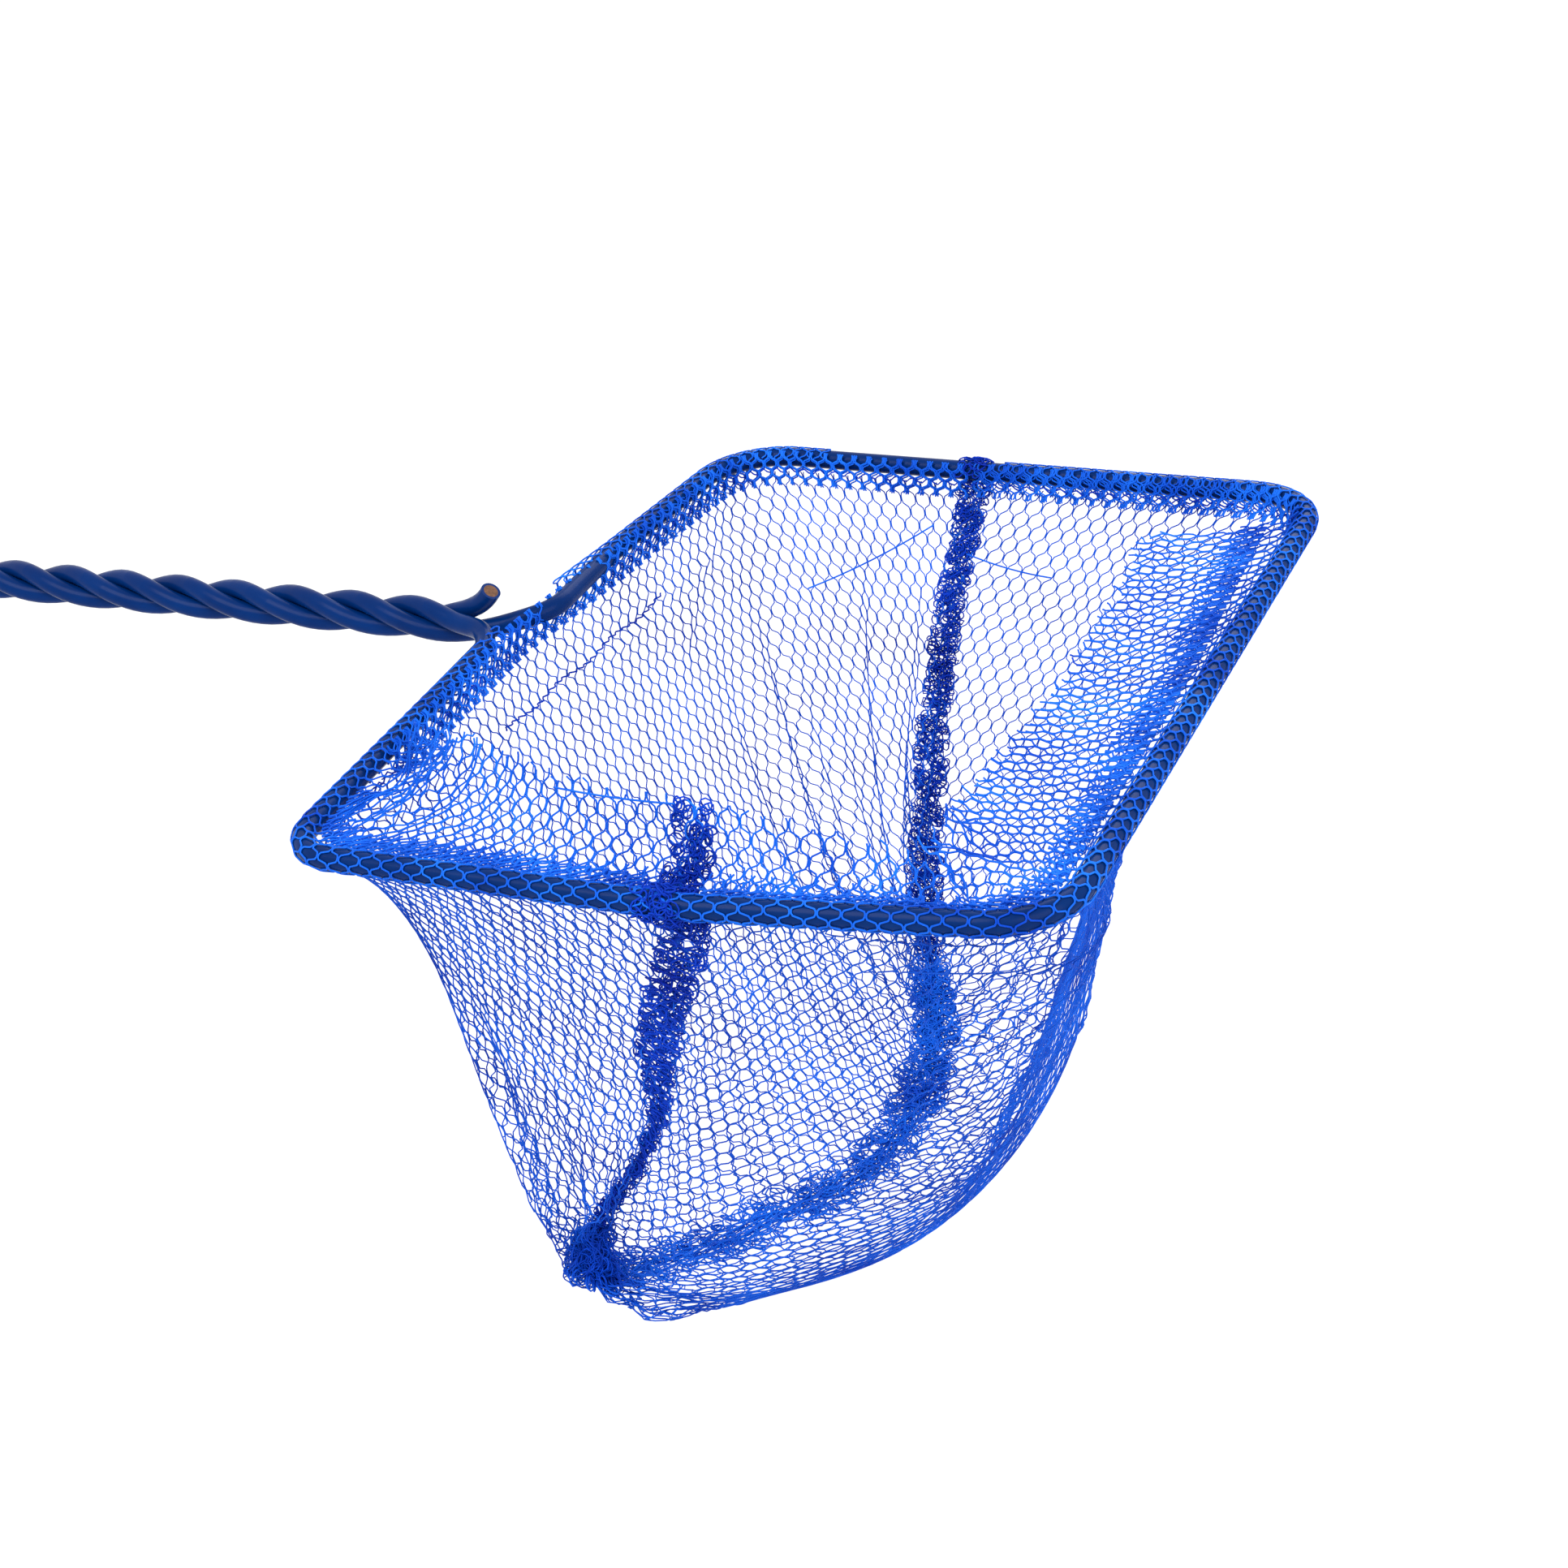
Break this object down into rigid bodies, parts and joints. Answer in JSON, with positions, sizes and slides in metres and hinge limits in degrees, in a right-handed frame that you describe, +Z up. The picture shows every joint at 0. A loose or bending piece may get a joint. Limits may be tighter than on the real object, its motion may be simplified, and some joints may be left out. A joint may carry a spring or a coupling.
{
  "type": "fish net",
  "caption": "Small hand net: a rounded rectangular hoop and twisted handle of coated wire, with a soft bag of fine hexagonal net hemmed over the hoop.",
  "frame": {"origin": "the middle of the hand's grip, on the handle's axis", "axes": "+X runs along the handle towards the hoop, +Y across the handle in the hoop's plane, +Z up out of the bag's mouth"},
  "size_m": [0.3015, 0.1349, 0.0956],
  "materials": {
    "wire_core": "satin",
    "wire_coating": "glossy",
    "net": "matte",
    "sewing_thread": "matte"
  },
  "bodies": {
    "root": {"hanging_eye_core": "wire_core", "strand_to_stub_core": "wire_core", "strand_to_far_limb_core": "wire_core", "strand_to_near_limb_core": "wire_core", "hoop_core": "wire_core", "hanging_eye_coating": "wire_coating", "strand_to_stub_coating": "wire_coating", "strand_to_far_limb_coating": "wire_coating", "strand_to_near_limb_coating": "wire_coating", "hoop_coating": "wire_coating", "hem_sleeve_near_back": "net", "hem_sleeve_front": "net", "hem_sleeve_far_back": "net", "net_panel_handle_side": "net", "net_panel_front": "net", "hem_flap_near": "net", "hem_flap_front": "net", "hem_band_handle_side": "net", "hem_band_far_side": "net", "side_seam_near": "net", "side_seam_far": "net", "bottom_seam": "net", "seam_thread_near": "sewing_thread", "seam_thread_far": "sewing_thread", "hem_thread": "sewing_thread"}
  },
  "joints": []
}
